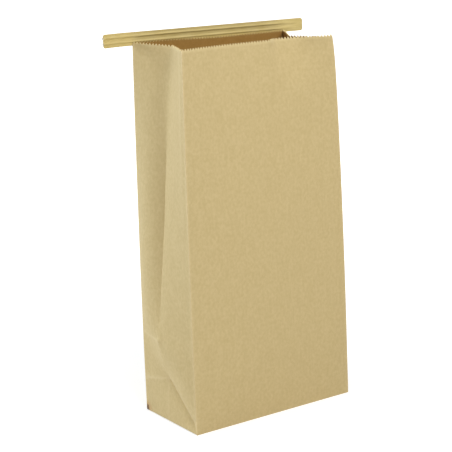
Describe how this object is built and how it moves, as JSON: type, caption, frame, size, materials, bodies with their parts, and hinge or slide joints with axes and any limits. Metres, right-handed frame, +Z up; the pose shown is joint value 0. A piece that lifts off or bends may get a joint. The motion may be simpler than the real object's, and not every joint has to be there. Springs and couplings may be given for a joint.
{
  "type": "paper bag with tin tie",
  "caption": "Standing brown paper bag with side gussets, a folded block bottom, a serrated open mouth and a wire tie strip along the back of the mouth.",
  "frame": {"origin": "middle of the base, on the surface that the bag stands on", "axes": "+Z up along the bag, front panel facing -Y, back panel with the tie strip at +Y"},
  "size_m": [0.1558, 0.0632, 0.2489],
  "materials": {
    "kraft_paper": "matte uncoated brown kraft",
    "tie_paper": "satin golden kraft strip",
    "tie_steel": "soft drawn wire"
  },
  "bodies": {
    "root": {"paper_bag": "kraft_paper", "tie_wrap": "tie_paper", "tie_wire_lower": "tie_steel", "tie_wire_upper": "tie_steel"}
  },
  "joints": []
}
